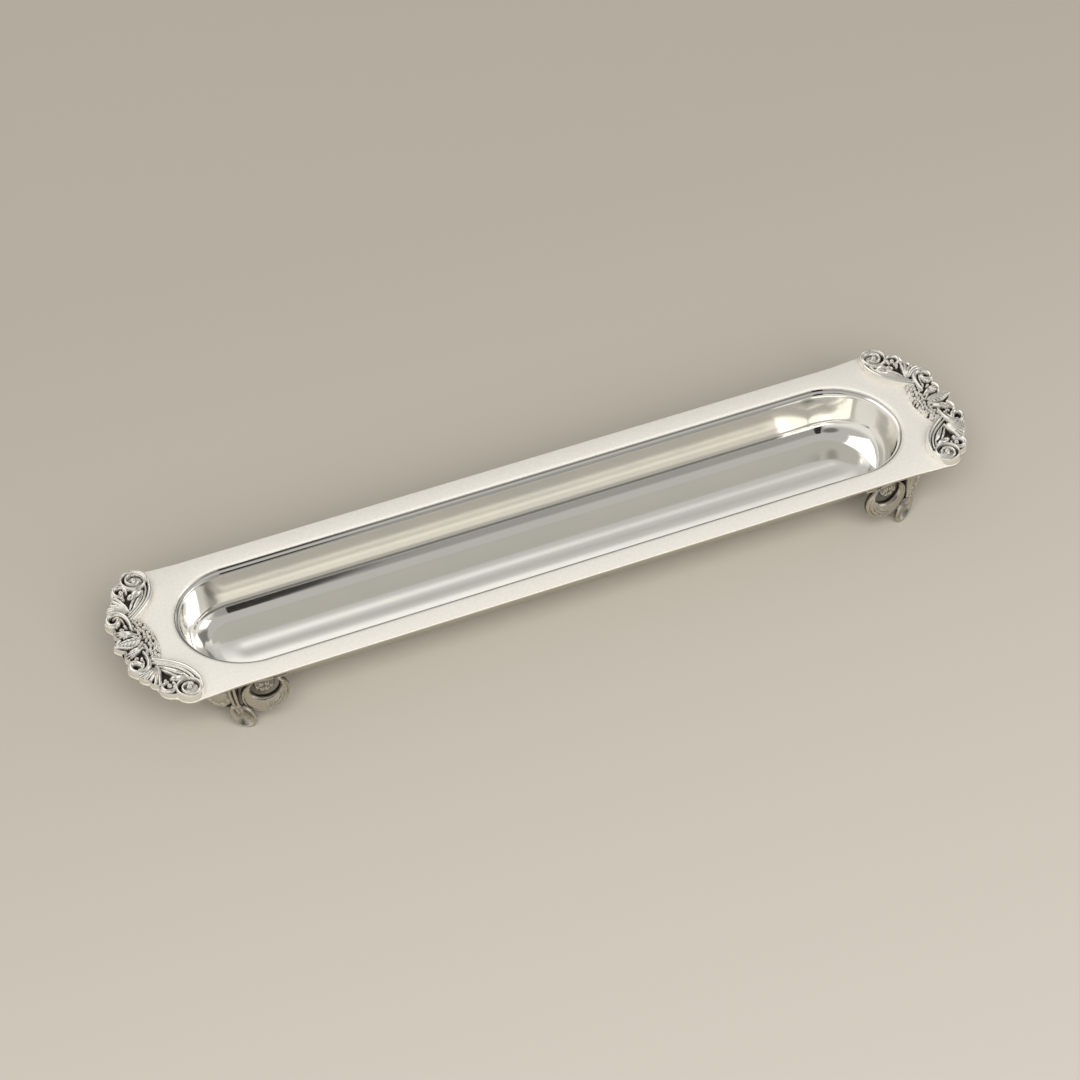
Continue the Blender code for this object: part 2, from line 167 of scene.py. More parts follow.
def towards(way, start, end):
    """A share that rises from 0 to 1 as the look turns from start to end degrees off a way."""
    dot = nodes.new("ShaderNodeVectorMath")
    dot.operation = "DOT_PRODUCT"
    dot.inputs[1].default_value = way
    links.new(look.outputs["Generated"], dot.inputs[0])
    span = nodes.new("ShaderNodeMapRange")
    span.interpolation_type = "SMOOTHSTEP"
    span.inputs["From Min"].default_value = math.cos(math.radians(start))
    span.inputs["From Max"].default_value = math.cos(math.radians(end))
    links.new(dot.outputs["Value"], span.inputs["Value"])
    return span.outputs[0]


def toned(share, under, tone):
    """The room's grey so far, with another tone laid over a share of it."""
    mix = nodes.new("ShaderNodeMix")
    links.new(share, mix.inputs["Factor"])
    mix.inputs["B"].default_value = tone
    if isinstance(under, float):
        mix.inputs["A"].default_value = under
    else:
        links.new(under, mix.inputs["A"])
    return mix.outputs["Result"]


down = Vector((0, 0, -1))
grey = toned(towards(down, start=125, end=108), ROOM_GREY, ROOM_SIDES)
grey = toned(towards(direction(160, 30), start=34, end=18), grey, BEHIND_VIEWER)
corner = nodes.new("ShaderNodeMath")
corner.operation = "MULTIPLY"
links.new(towards(direction(45, 26), start=40, end=28), corner.inputs[0])
links.new(towards(down, start=135, end=132), corner.inputs[1])
grey = toned(corner.outputs[0], grey, DARK_CORNER)
grey = toned(towards(direction(206, 48), start=18, end=9), grey, DIM_CEILING)
ray = nodes.new("ShaderNodeLightPath")
grey = toned(ray.outputs["Is Diffuse Ray"], grey, ON_PAPER)
grey = toned(ray.outputs["Is Camera Ray"], grey, BACKDROP)
links.new(grey, nodes["Background"].inputs["Strength"])
nodes["Background"].inputs["Color"].default_value = (*ROOM_TONE, 1)
bpy.context.scene.view_settings.view_transform = "Standard"

# The tray plate: one sheet of silver with a long round-ended well pressed into it, its flange left
# satin and the well polished; its outside beneath the flange is painted darker as shade. Wall,
# shoulder and floor are one pressing, and the rim is filed soft.
import bmesh

SHEET = 0.0010
WELL_RADIUS = 0.0198
END_CENTRE = 0.0885
WELL_DEPTH = 0.0136
HALF_WIDTH = 0.0250
SHOULDER_RADIUS = 0.0013
SHOULDER_TURN = math.radians(70)
LEDGE = 0.0001
BEAD_RADIUS = 0.00105
BEAD_START = math.radians(2)
WALL_TOP_SLOPE = math.radians(79)
WALL_FOOT_SLOPE = math.radians(77)
FLOOR_FILLET = 0.0050
END_FILLET = 0.0082
FLOOR_LEAN = math.radians(0.6)
FLOOR_RADIUS = 0.0120
NEAR_WALL_LEAN = math.radians(1.2)
WAVES = ((0.0032, math.radians(0.9)), (0.0058, math.radians(-1.4)))
LEAN_FROM, LEAN_OVER = 0.0105, 0.0025
ROUND_STEPS = 256
SHOULDER_STEPS, BEAD_STEPS, WALL_STEPS, FILLET_STEPS, FLOOR_STEPS = 10, 8, 12, 24, 30
FLANGE_BAND = 0.0008
RIM_ROUND = 0.00018
UNDER_FLANGE = 0.0008
GARLAND_X = 0.1150
MOUNT_REACH = 0.0102
VOLUTE_X, VOLUTE_Y = 0.1119, 0.0220
VOLUTE = Vector((VOLUTE_X, VOLUTE_Y))
VOLUTE_RADIUS = 0.0039
VOLUTE_FROM, VOLUTE_SWEEP = 13, 82
CORNER_FLARE = 0.0006
FLARE_LENGTH = 0.0120
FLARE_STEPS = 9


def pick(piece, kind, test):
    """Selects, in edit mode, only those verts, edges or faces that pass a test."""
    bpy.ops.mesh.select_mode(type={"verts": "VERT", "edges": "EDGE", "faces": "FACE"}[kind])
    bpy.ops.mesh.select_all(action="DESELECT")
    shape = bmesh.from_edit_mesh(piece.data)
    for item in getattr(shape, kind):
        if test(item):
            item.select_set(True)
    bmesh.update_edit_mesh(piece.data)


def polar(centre, radius, degrees):
    angle = math.radians(degrees)
    return Vector((centre[0] + radius * math.cos(angle), centre[1] + radius * math.sin(angle)))


def bowed(start, end, bow, count):
    """Points from start towards end, bowed to the right of the way by a share of the chord."""
    chord = end - start
    side = Vector((chord.y, -chord.x))
    shares = [step / count for step in range(count)]
    return [start + chord * share + side * (bow * 4 * share * (1 - share)) for share in shares]


def mount_edge(steps):
    """Half of the tray's scalloped end, from its middle leaf to the far side of the volute."""
    places = ((0.78, 0.114), (0.79, 0.286), (0.75, 0.545), (0.57, 0.690), (0.42, 0.810))
    cusps = [Vector((GARLAND_X + MOUNT_REACH, 0))]
    cusps += [Vector((GARLAND_X + MOUNT_REACH * out, VOLUTE.y * over)) for out, over in places]
    cusps += [polar(VOLUTE, VOLUTE_RADIUS, VOLUTE_FROM)]
    points = []
    for start, end, bow in zip(cusps, cusps[1:], (0.08, 0.18, 0.28, 0.20, 0.17, 0.24)):
        points += bowed(start, end, bow, steps)
    sweep = [VOLUTE_FROM + VOLUTE_SWEEP * step / steps for step in range(steps + 1)]
    return points + [polar(VOLUTE, VOLUTE_RADIUS, degrees) for degrees in sweep]


def well_rings(fillet):
    """Insets from the opening's edge and depths below the flange, from shoulder to floor."""
    rings = [(0.0, 0.0)]

    def turn_down(radius, start, end, steps):
        inset, depth = rings[-1]
        for step in range(1, steps + 1):
            slope = start + (end - start) * step / steps
            run = abs(math.sin(slope) - math.sin(start)) * radius
            drop = abs(math.cos(slope) - math.cos(start)) * radius
            rings.append((inset + run, depth + drop))

    turn_down(SHOULDER_RADIUS, 0, SHOULDER_TURN, SHOULDER_STEPS)
    rings.append((rings[-1][0] + LEDGE, rings[-1][1] + LEDGE / 50))
    turn_down(BEAD_RADIUS, BEAD_START, WALL_TOP_SLOPE, BEAD_STEPS)
    wall = WELL_DEPTH - rings[-1][1] - fillet * (1 - math.cos(WALL_FOOT_SLOPE))
    bow = wall / (math.cos(WALL_FOOT_SLOPE) - math.cos(WALL_TOP_SLOPE))
    turn_down(bow, WALL_TOP_SLOPE, WALL_FOOT_SLOPE, WALL_STEPS)
    turn_down(fillet, WALL_FOOT_SLOPE, 0, FILLET_STEPS)
    floor_radius = WELL_RADIUS - rings[-1][0]
    for step in range(1, FLOOR_STEPS):
        radius = left = floor_radius * (1 - step / FLOOR_STEPS)
        rise = 0
        for length, steepest in WAVES:
            share = min(max(left / length, 0), 1)
            rise += steepest * length / math.pi * (1 - math.cos(math.pi * share))
            left -= length
        rings.append((WELL_RADIUS - radius, WELL_DEPTH - rise * min(1, step / 5)))
    return rings


bpy.ops.object.select_all(action="DESELECT")
bpy.ops.mesh.primitive_circle_add(
    vertices=ROUND_STEPS, radius=WELL_RADIUS, location=(END_CENTRE, 0, PLATE_TOP)
)
tray = bpy.context.object
tray.name = "tray_pressing"
bpy.ops.object.transform_apply(location=True)
bpy.ops.object.mode_set(mode="EDIT")
pick(tray, "verts", lambda vert: vert.co.x < END_CENTRE - 1e-6)
bpy.ops.mesh.delete(type="VERT")
middle = (END_CENTRE, 0, 0)

# the flange, out to the scalloped end and the long sides
bpy.ops.mesh.select_mode(type="EDGE")
bpy.ops.mesh.select_all(action="SELECT")
bpy.ops.mesh.extrude_edges_move()
grow = (WELL_RADIUS + FLANGE_BAND) / WELL_RADIUS
bpy.ops.transform.resize(value=(grow, grow, 1), center_override=middle)
bpy.ops.mesh.extrude_edges_move()
corner = []
for step in range(FLARE_STEPS + 1):
    flare = CORNER_FLARE * (1 + math.cos(math.pi * step / FLARE_STEPS)) / 2
    along = VOLUTE.x - VOLUTE_RADIUS / 2 - FLARE_LENGTH * step / FLARE_STEPS
    corner.append(Vector((along, HALF_WIDTH + flare)))
outline = mount_edge(12) + corner + [Vector((END_CENTRE, HALF_WIDTH))]
turns = [math.atan2(point.y, point.x - END_CENTRE) for point in outline]
shape = bmesh.from_edit_mesh(tray.data)
for vert in shape.verts:
    if vert.select:
        turn = abs(math.atan2(vert.co.y, vert.co.x - END_CENTRE))
        for index in range(len(turns) - 1):
            if turns[index] <= turn + 1e-6 and turn <= turns[index + 1] + 1e-6:
                share = (turn - turns[index]) / max(turns[index + 1] - turns[index], 1e-9)
                spot = outline[index].lerp(outline[index + 1], min(max(share, 0), 1))
                vert.co.x, vert.co.y = spot.x, math.copysign(spot.y, vert.co.y)
                break
bmesh.update_edit_mesh(tray.data)

# the well, ring by ring down to the floor, and the floor to its middle
rim_middle = Vector((END_CENTRE, 0, PLATE_TOP))
pick(tray, "edges", lambda edge: all(
    abs((vert.co - rim_middle).length - WELL_RADIUS) < 1e-6 for vert in edge.verts))
rings = well_rings(FLOOR_FILLET)
for (inset, depth), (next_inset, next_depth) in zip(rings, rings[1:]):
    shrink = (WELL_RADIUS - next_inset) / (WELL_RADIUS - inset)
    bpy.ops.mesh.extrude_edges_move()
    bpy.ops.transform.resize(value=(shrink, shrink, 1), center_override=middle)
    bpy.ops.transform.translate(value=(0, 0, depth - next_depth))
bpy.ops.mesh.extrude_edges_move()
bpy.ops.transform.resize(value=(0, 0, 1), center_override=middle)
bpy.ops.mesh.select_all(action="SELECT")
bpy.ops.mesh.remove_doubles(threshold=1e-7)

# the corner of wall and floor is rounder at the ends, and the near wall is a little less steep
shape = bmesh.from_edit_mesh(tray.data)
rounder = well_rings(END_FILLET)
radii = [WELL_RADIUS - inset for inset, _ in rings]
for vert in shape.verts:
    out = Vector((vert.co.x - END_CENTRE, vert.co.y))
    nearest_ring = min(range(len(radii)), key=lambda ring: abs(radii[ring] - out.length))
    if out.length < WELL_RADIUS - 1e-6 and out.length > 1e-6:
        share = (out.x / out.length) ** 2
        (inset, depth), (end_inset, end_depth) = rings[nearest_ring], rounder[nearest_ring]
        radius = WELL_RADIUS - inset - (end_inset - inset) * share
        nearness = max(-out.y / out.length, 0)
        radius -= NEAR_WALL_LEAN * depth * nearness * min(radius / FLOOR_RADIUS, 1)
        vert.co.xy = Vector((END_CENTRE, 0)) + out * (radius / out.length)
        vert.co.z = PLATE_TOP - depth - (end_depth - depth) * share

# the floor leans a little, as hand-planished floors do
for vert in shape.verts:
    deep = min(max((PLATE_TOP - vert.co.z - LEAN_FROM) / LEAN_OVER, 0), 1)
    vert.co.z -= FLOOR_LEAN * vert.co.y * deep
bmesh.update_edit_mesh(tray.data)

# the straight part
pick(tray, "edges", lambda edge: all(abs(vert.co.x - END_CENTRE) < 1e-6 for vert in edge.verts))
bpy.ops.mesh.extrude_edges_move(TRANSFORM_OT_translate={"value": (-END_CENTRE, 0, 0)})
bpy.ops.mesh.select_all(action="SELECT")
bpy.ops.mesh.normals_make_consistent(inside=False)
shape = bmesh.from_edit_mesh(tray.data)
flange = max(shape.faces, key=lambda face: face.calc_center_median().x)
if flange.normal.z < 0:
    bpy.ops.mesh.flip_normals()
bpy.ops.object.mode_set(mode="OBJECT")


def apply_modifier(piece, kind, **values):
    bpy.context.view_layer.objects.active = piece
    made = piece.modifiers.new(kind.lower(), kind)
    for name, value in values.items():
        setattr(made, name, value)
    bpy.ops.object.modifier_apply(modifier=made.name)


apply_modifier(tray, "MIRROR", use_axis=(True, False, False), merge_threshold=1e-6)
apply_modifier(tray, "SOLIDIFY", thickness=SHEET, offset=-1, use_even_offset=True)
apply_modifier(
    tray, "BEVEL", width=RIM_ROUND, segments=3, limit_method="ANGLE", angle_limit=math.radians(60)
)
bpy.ops.object.mode_set(mode="EDIT")
bpy.ops.mesh.select_all(action="SELECT")
bpy.ops.mesh.remove_doubles(threshold=1e-6)
bpy.ops.object.mode_set(mode="OBJECT")
bpy.ops.object.shade_smooth_by_angle(angle=math.radians(32))

# the outside of the well below the flange, painted darker as the shade beneath the tray
painted_shade_beneath = tray.data.attributes.new("painted_shade_beneath", "FLOAT", "POINT")
for vert, mark in zip(tray.data.vertices, painted_shade_beneath.data):
    past_end = math.copysign(max(abs(vert.co.x) - END_CENTRE, 0), vert.co.x)
    out_and_down = Vector((past_end, vert.co.y, 0)).normalized() - Vector((0, 0, 0.5))
    below = vert.co.z < PLATE_TOP - UNDER_FLANGE
    mark.value = float(below and vert.normal.dot(out_and_down) > 0.1)

marks = bpy.data.node_groups.new("handling_marks", "ShaderNodeTree")
marks.interface.new_socket("Place", in_out="INPUT", socket_type="NodeSocketVector")
for output in ("Cloud", "Grain", "Scratches"):
    marks.interface.new_socket(output, in_out="OUTPUT", socket_type="NodeSocketFloat")
nodes, links = marks.nodes, marks.links
given, result = nodes.new("NodeGroupInput"), nodes.new("NodeGroupOutput")
stretch = nodes.new("ShaderNodeVectorMath")
stretch.operation = "MULTIPLY"
stretch.inputs[1].default_value = (0.06, 1, 1)
links.new(given.outputs["Place"], stretch.inputs[0])
for output, scale, detail, low, high in (
    ("Cloud", 70, 3, 0.35, 0.70),
    ("Grain", 1300, 3, 0.30, 0.72),
    ("Scratches", 2600, 2, 0.50, 0.78),
):
    noise = nodes.new("ShaderNodeTexNoise")
    noise.inputs["Scale"].default_value = scale
    noise.inputs["Detail"].default_value = detail
    source = stretch.outputs[0] if output == "Scratches" else given.outputs["Place"]
    links.new(source, noise.inputs["Vector"])
    span = nodes.new("ShaderNodeMapRange")
    span.inputs["From Min"].default_value = low
    span.inputs["From Max"].default_value = high
    links.new(noise.outputs["Fac"], span.inputs["Value"])
    links.new(span.outputs[0], result.inputs[output])


def finish(name):
    """A metal with handling marks on it: its material, shader, nodes, links, place and marks."""
    made = bpy.data.materials.new(name)
    made.use_nodes = True
    nodes, links = made.node_tree.nodes, made.node_tree.links
    shader = nodes["Principled BSDF"]
    shader.inputs["Metallic"].default_value = 1
    place = nodes.new("ShaderNodeTexCoord")
    marked = nodes.new("ShaderNodeGroup")
    marked.node_tree = marks
    links.new(place.outputs["Object"], marked.inputs["Place"])
    return made, shader, nodes, links, place, marked


def spread(nodes, links, value, low, high, to_low, to_high):
    """A value's range, low to high, taken to another one."""
    span = nodes.new("ShaderNodeMapRange")
    ends = {"From Min": low, "From Max": high, "To Min": to_low, "To Max": to_high}
    for socket, number in ends.items():
        span.inputs[socket].default_value = number
    links.new(value, span.inputs["Value"])
    return span.outputs[0]


def sums(nodes, links, operation, first, second):
    made = nodes.new("ShaderNodeMath")
    made.operation = operation
    for socket, value in zip(made.inputs, (first, second)):
        if isinstance(value, float):
            socket.default_value = value
        else:
            links.new(value, socket)
    return made.outputs[0]


def tinted(nodes, links, share, first, second):
    """One colour laid over another by a share that varies over the surface."""
    mix = nodes.new("ShaderNodeMix")
    mix.data_type = "RGBA"
    for socket, colour in (("A", first), ("B", second)):
        if isinstance(colour, tuple):
            mix.inputs[socket].default_value = (*colour, 1)
        else:
            links.new(colour, mix.inputs[socket])
    links.new(share, mix.inputs["Factor"])
    return mix.outputs["Result"]


WELL_SILVER = ((0.95, 0.93, 0.88), (0.92, 0.91, 0.87))
WELL_POLISH = (0.078, 0.113)
FLANGE_SILVER = ((0.92, 0.885, 0.815), (0.99, 0.955, 0.895))
FLANGE_SATIN = (0.36, 0.50)
FLANGE_METALLIC = 0.14
FLANGE_FROM, FLANGE_FULL = PLATE_TOP - 0.0005, PLATE_TOP - 0.0002
# painted shade: the outside of the well below the flange is darkened to this colour
WELL_OUTSIDE_SHADE = (0.62, 0.60, 0.54)
# painted shade: a narrow dark line along the crease where the rim's shoulder ends
CREASE_SHADE = (0.22, 0.19, 0.15)
CREASE_SHARE = 0.60
CREASE_LEVEL = PLATE_TOP - SHOULDER_RADIUS * (1 - math.cos(SHOULDER_TURN)) + 0.00013
CREASE_FROM, CREASE_FULL = 0.00017, 0.00010
pressed, shader, nodes, links, place, marked = finish("pressed_silver")
apart = nodes.new("ShaderNodeSeparateXYZ")
links.new(place.outputs["Object"], apart.inputs[0])
on_flange = spread(nodes, links, apart.outputs["Z"], FLANGE_FROM, FLANGE_FULL, 0, 1)

polish = spread(nodes, links, marked.outputs["Scratches"], 0, 1, *WELL_POLISH)
satin = spread(nodes, links, marked.outputs["Grain"], 0, 1, *FLANGE_SATIN)
rough = nodes.new("ShaderNodeMix")
links.new(on_flange, rough.inputs["Factor"])
links.new(polish, rough.inputs["A"])
links.new(satin, rough.inputs["B"])
links.new(rough.outputs["Result"], shader.inputs["Roughness"])

bright = tinted(nodes, links, marked.outputs["Cloud"], *WELL_SILVER)
# the painted shade line along the crease
off_crease = sums(nodes, links, "SUBTRACT", apart.outputs["Z"], CREASE_LEVEL)
off_crease = sums(nodes, links, "ABSOLUTE", off_crease, 0.0)
crease_shade = spread(nodes, links, off_crease, CREASE_FROM, CREASE_FULL, 0, CREASE_SHARE)
bright = tinted(nodes, links, crease_shade, bright, CREASE_SHADE)
# painted shade on the outside of the well below the flange
outside = nodes.new("ShaderNodeAttribute")
outside.attribute_name = "painted_shade_beneath"
bright = tinted(nodes, links, outside.outputs["Fac"], bright, WELL_OUTSIDE_SHADE)
frost = tinted(nodes, links, marked.outputs["Grain"], *FLANGE_SILVER)
links.new(tinted(nodes, links, on_flange, bright, frost), shader.inputs["Base Color"])
links.new(spread(nodes, links, on_flange, 0, 1, 1.0, FLANGE_METALLIC), shader.inputs["Metallic"])
bump = nodes.new("ShaderNodeBump")
bump.inputs["Distance"].default_value = 0.000004
links.new(marked.outputs["Grain"], bump.inputs["Height"])
links.new(sums(nodes, links, "MULTIPLY", on_flange, 0.6), bump.inputs["Strength"])
links.new(bump.outputs[0], shader.inputs["Normal"])
tray.data.materials.append(pressed)
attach(tray, "root")
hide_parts("tray_plate")

# The end mounts: cast silver borders of volutes, scrolls, shell flutes, leaves and a pebbled
# garland, soldered on both ends of the sheet, polished on their backs and dark in the recesses.
# Half of one is modelled as a relief over its plan and mirrored. The other is the same one turned.
import numpy as np

MM = 0.001
MOUNT_PITCH = 0.11
RECESS = 0.45
EDGE_ROUND = 0.95
MOUNT_LOW, MOUNT_HIGH = (104.7, 0.0), (125.6, 26.2)
VOLUTE_MIDDLE = np.array((VOLUTE_X, VOLUTE_Y)) / MM
COIL_TURN = 700
GARLAND_BOW = 2.0
GARLAND_REACH = 9.02
FLOWER = (115.3, 0.0)
BRIGHT_CAST = ((0.96, 0.94, 0.89), (0.90, 0.87, 0.81))
TARNISH = (0.055, 0.045, 0.034)


def around(centre, radius, degrees):
    turn = np.radians(degrees)
    return np.stack([centre[0] + radius * np.cos(turn), centre[1] + radius * np.sin(turn)], -1)


def drawn(points, count):
    """A smooth line through some points of the plan."""
    points = np.array(points, float)
    points = np.concatenate([[2 * points[0] - points[1]], points, [2 * points[-1] - points[-2]]])
    steps = np.linspace(0, 1, count // (len(points) - 3) + 2)[:-1, None]
    line = []
    for a, b, c, d in zip(points, points[1:], points[2:], points[3:]):
        bend = (2 * a - 5 * b + 4 * c - d) * steps**2 + (3 * b - a - 3 * c + d) * steps**3
        line.append((2 * b + (c - a) * steps + bend) / 2)
    return np.concatenate(line + [points[-2:-1]])


def shifted(line, distance):
    """The line moved to the left of its own way."""
    way = np.gradient(line, axis=0)
    way /= np.linalg.norm(way, axis=1)[:, None]
    return line + np.stack([-way[:, 1], way[:, 0]], 1) * distance


def nearest(x, y, line):
    """For each place: its distance from the line, and how far along the line that is."""
    least = np.full(x.shape, 1e9)
    share = np.zeros(x.shape)
    lengths = np.linalg.norm(np.diff(line, axis=0), axis=1)
    run = 0
    for start, end, length in zip(line, line[1:], lengths):
        if length > 1e-9:
            along_x, along_y = (end - start) / length
            step = np.clip((x - start[0]) * along_x + (y - start[1]) * along_y, 0, length)
            distance = np.hypot(x - start[0] - step * along_x, y - start[1] - step * along_y)
            share = np.where(distance < least, (run + step) / lengths.sum(), share)
            least = np.minimum(distance, least)
        run += length
    return least, share


def within(x, y, loop):
    """Whether each place lies inside a closed loop."""
    odd = np.zeros(x.shape, bool)
    for (x0, y0), (x1, y1) in zip(loop, np.roll(loop, -1, 0)):
        if y0 != y1:
            crossing = (y0 > y) != (y1 > y)
            odd ^= crossing & (x < (x1 - x0) * (y - y0) / (y1 - y0) + x0)
    return odd


def ridge(x, y, line, widths, heights):
    """A round-backed ridge along a line, its half widths and heights given evenly along it."""
    distance, share = nearest(x, y, line)
    width = np.interp(share, np.linspace(0, 1, len(widths)), widths)
    height = np.interp(share, np.linspace(0, 1, len(heights)), heights)
    return height * np.clip(1 - (distance / width) ** 2, 0, 1) ** 0.4


def dome(x, y, centre, sizes, degrees, height):
    turn = math.radians(degrees)
    u = ((x - centre[0]) * math.cos(turn) + (y - centre[1]) * math.sin(turn)) / sizes[0]
    v = ((y - centre[1]) * math.cos(turn) - (x - centre[0]) * math.sin(turn)) / sizes[1]
    return height * np.sqrt(np.clip(1 - u * u - v * v, 0, 1))


def cut_to_plan(name, low, high, pitch, region):
    """A fine flat grid in millimetres, trimmed to a region and its edge drawn onto the region's."""
    cells = [round((end - start) / pitch) for start, end in zip(low, high)]
    bpy.ops.object.select_all(action="DESELECT")
    bpy.ops.mesh.primitive_grid_add(x_subdivisions=cells[0], y_subdivisions=cells[1], size=1)
    piece = bpy.context.object
    piece.name = name
    places = np.empty((len(piece.data.vertices), 3))
    piece.data.vertices.foreach_get("co", places.ravel())
    places[:, :2] = np.array(low) + (places[:, :2] + 0.5) * (np.array(high) - np.array(low))
    piece.data.vertices.foreach_set("co", places.ravel())
    kept = region(places[:, 0], places[:, 1]) > -0.45 * pitch
    bpy.ops.object.mode_set(mode="EDIT")
    pick(piece, "faces", lambda face: not all(kept[vert.index] for vert in face.verts))
    bpy.ops.mesh.delete(type="FACE")
    pick(piece, "verts", lambda vert: not vert.link_faces)
    bpy.ops.mesh.delete(type="VERT")
    shape = bmesh.from_edit_mesh(piece.data)
    rim = [vert for vert in shape.verts if vert.is_boundary and abs(vert.co.y - low[1]) > 1e-6]
    spots = np.array([vert.co.xy for vert in rim])
    small = 0.02
    for _ in range(3):
        x, y = spots.T
        over = region(x, y)
        slope_x = (region(x + small, y) - region(x - small, y)) / (2 * small)
        slope_y = (region(x, y + small) - region(x, y - small)) / (2 * small)
        steep = np.maximum(slope_x**2 + slope_y**2, 0.2)
        spots -= np.stack([over * slope_x / steep, over * slope_y / steep], 1)
    for vert, spot in zip(rim, spots):
        vert.co.xy = spot
    bmesh.update_edit_mesh(piece.data)
    bpy.ops.object.mode_set(mode="OBJECT")
    return piece


def garland(y):
    """How far out the middle of the garland is, beside the tray's middle line."""
    return GARLAND_X / MM + GARLAND_BOW * (y / GARLAND_REACH) ** 2


stem = drawn([
    (117.4, 8.7), (115.3, 10.1), (113.0, 11.9), (110.9, 14.2), (109.4, 17.0), (108.6, 20.0)
], 40)
half_outline = np.concatenate([
    np.array(mount_edge(10)) / MM,
    around(VOLUTE_MIDDLE, VOLUTE_RADIUS / MM, np.linspace(100, 198, 16)),
    shifted(stem, 1.25)[::-1],
    [(garland(y) - 1.7, y) for y in np.linspace(8.2, 0, 9)],
])


def mount_region(x, y):
    distance, _ = nearest(x, y, half_outline)
    return np.where(within(x, np.abs(y) + 1e-6, half_outline), distance, -distance)


def mount_relief(x, y):
    """Height of the casting above the flange, in millimetres, over one half of its plan."""
    turns = np.linspace(0, 1, 90)
    winding = np.interp(turns, [0, 0.42, 0.72, 1], [3.42, 3.38, 2.2, 1.45])
    coil = around(VOLUTE_MIDDLE, winding, 200 - COIL_TURN * turns)
    limb = np.concatenate([stem[:-1], coil[:1]])
    scroll = drawn([
        (118.5, 4.7), (118.3, 6.8), (118.5, 9.0), (119.4, 10.9), (121.0, 11.75), (122.6, 11.3),
        (123.5, 9.9), (123.35, 8.35), (122.4, 7.6), (121.3, 8.1), (120.6, 9.2),
    ], 80)
    curl = around((116.7, 19.45), 1.75, np.linspace(-95, 215, 50))
    forms = [
        np.full(x.shape, RECESS),
        ridge(x, y, half_outline[:66], [0.85], [1.45]),
        dome(x, y, VOLUTE_MIDDLE, (3.6, 3.6), 0, 1.25),
        ridge(x, y, coil, [0.52, 0.5, 0.5, 0.55, 0.5], [2.2, 2.25, 2.25, 2.15, 2.2]),
        dome(x, y, (112.0, 21.9), (0.95, 0.95), 0, 2.5),
        ridge(x, y, shifted(limb, 0.45), [0.85, 0.95, 0.95, 0.8, 0.6], [1.9, 2.1, 2.2, 2.2, 2.1]),
        ridge(x, y, shifted(limb, -0.75)[:-3], [0.35, 0.45, 0.45, 0.4], [1.6, 1.85, 1.9, 1.7]),
        ridge(x, y, shifted(limb, -1.6)[4:-8], [0.3, 0.42, 0.4], [1.3, 1.6, 1.4]),
        dome(x, y, (112.7, 17.6), (2.3, 1.35), -30, 2.0),
        dome(x, y, (114.4, 16.9), (1.5, 0.95), -20, 1.8),
        ridge(x, y, drawn([(111.5, 16.2), (112.9, 14.9), (114.4, 13.2), (115.6, 11.9)], 30),
              [0.45, 0.75, 0.7, 0.4], [1.5, 1.8, 1.7, 1.3]),
        ridge(x, y, drawn([(113.2, 16.4), (114.6, 14.9), (115.7, 13.4), (116.4, 12.2)], 30),
              [0.3, 0.5, 0.5, 0.3], [1.3, 1.55, 1.55, 1.2]),
        dome(x, y, (116.9, 16.9), (0.95, 0.6), 60, 1.7),
        dome(x, y, (115.4, 19.9), (0.85, 0.6), 100, 1.75),
        ridge(x, y, curl, [0.5, 0.62, 0.62, 0.45], [1.8, 2.0, 2.0, 1.8]),
        dome(x, y, (116.5, 19.1), (0.85, 0.85), 0, 2.0),
        ridge(x, y, scroll, [0.5, 0.62, 0.75, 0.85, 0.85, 0.8, 0.75, 0.8, 0.9, 0.8],
              [1.9, 2.2, 2.4, 2.4, 2.35, 2.3, 2.2, 2.2, 2.3, 2.3]),
        ridge(x, y, shifted(scroll, -1.35)[8:46], [0.2, 0.35, 0.4, 0.3], [1.5, 1.9, 1.95, 1.6]),
        dome(x, y, (119.7, 6.6), (1.0, 0.55), 65, 1.6),
        dome(x, y, (120.9, 5.9), (0.9, 0.5), 20, 1.5),
    ]

    # the shell's flutes and the veins of the leaf beside the middle one
    for line in (
        [(116.8, 11.2), (117.1, 13.2), (117.7, 15.0), (118.2, 16.6), (118.5, 17.6)],
        [(117.0, 11.4), (117.8, 13.4), (118.7, 15.1), (119.4, 16.6)],
        [(117.3, 11.5), (118.4, 13.2), (119.5, 14.5), (120.5, 15.4)],
        [(117.7, 11.4), (118.9, 12.7), (120.2, 13.7), (121.7, 14.3)],
        [(118.2, 11.3), (119.6, 12.4), (121.0, 13.0), (122.4, 13.2)],
    ):
        forms.append(ridge(x, y, drawn(line, 30), [0.3, 0.48, 0.6, 0.6], [1.6, 2.0, 2.1, 1.8]))
    for tip in ((122.7, 5.35), (122.9, 4.4), (122.6, 3.4), (121.6, 2.6)):
        vein = drawn([(118.0, 2.6), ((118.0 + tip[0]) / 2, (2.6 + tip[1]) / 2 + 0.25), tip], 20)
        forms.append(ridge(x, y, vein, [0.3, 0.52, 0.42, 0.15], [1.5, 1.9, 1.8, 1.2]))

    # the middle leaf, with its rib and veins
    along = np.clip((x - 117.6) / 7.4, 0, 1)
    half_width = np.maximum(1.75 * np.sin(np.pi * along**0.75) ** 0.8, 1e-6)
    leaf = (1.9 + 0.35 * np.sin(np.pi * along)) * np.clip(1 - (y / half_width) ** 2, 0, 1) ** 0.35
    leaf -= 0.55 * np.exp(-((y / 0.16) ** 2)) * np.sin(np.pi * along)
    veins = np.clip(np.sin((x - 1.1 * y) * 2 * np.pi / 1.25), 0, 1) ** 4
    leaf -= 0.16 * veins * np.clip(y / 0.4, 0, 1)
    forms.append(np.where(along < 1, leaf, 0))

